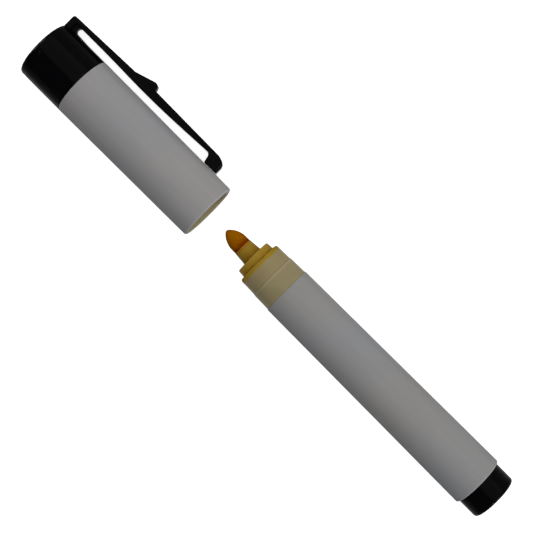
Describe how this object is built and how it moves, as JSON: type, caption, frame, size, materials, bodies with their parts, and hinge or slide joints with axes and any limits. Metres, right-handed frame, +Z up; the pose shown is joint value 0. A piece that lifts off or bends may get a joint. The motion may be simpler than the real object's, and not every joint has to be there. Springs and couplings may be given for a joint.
{
  "type": "uv light marker pen",
  "caption": "Felt marker pen with a bullet nib and a pull-off cap whose dark twist end holds a small UV light and a pocket clip.",
  "frame": {"origin": "centre of the flat end face of the tail plug, on the pen's axis", "axes": "+X along the pen's axis from the tail towards the nib and the cap, +Z up from the table it lies on; the clip leans towards -Y and down to the table"},
  "size_m": [0.1721, 0.0223, 0.0178],
  "materials": {
    "grey_plastic": "satin moulded, light grey",
    "black_plastic": "gloss moulded",
    "cream_plastic": "satin moulded, ink stained",
    "nib_fibre": "bonded fibre soaked with ink",
    "ink_fibre": "soft fibre bundle",
    "clear_film": "thin film",
    "natural_plastic": "natural moulded",
    "lamp_resin": "clear cast resin",
    "cell_steel": "nickel plated",
    "spring_steel": "bright wire",
    "contact_brass": "stamped sheet",
    "tinned_wire": "tinned"
  },
  "bodies": {
    "pen": {"barrel": "grey_plastic", "tail_plug": "black_plastic", "ink_reservoir": "ink_fibre", "reservoir_film": "clear_film", "nib_holder": "cream_plastic", "nib": "nib_fibre"},
    "cap": {"cap_shell": "grey_plastic", "inner_cap": "cream_plastic", "contact_plate": "contact_brass", "contact_strip": "contact_brass", "battery_spring": "spring_steel", "button_cell_1": "cell_steel", "button_cell_2": "cell_steel", "button_cell_3": "cell_steel", "battery_carrier": "natural_plastic"},
    "light": {"light_head": "black_plastic", "led_holder": "natural_plastic", "uv_led": "lamp_resin", "led_leads": "tinned_wire", "contact_ring": "contact_brass"}
  },
  "joints": [
    {"name": "cap_pull", "type": "slide", "parent": "pen", "child": "cap", "axis": [1, 0, 0], "range_m": [-0.0297, 0.02]},
    {"name": "light_twist", "type": "hinge", "parent": "cap", "child": "light", "pos_m": [0.1648, 0, 0], "axis": [1, 0, 0], "range_deg": [0, 90]}
  ]
}
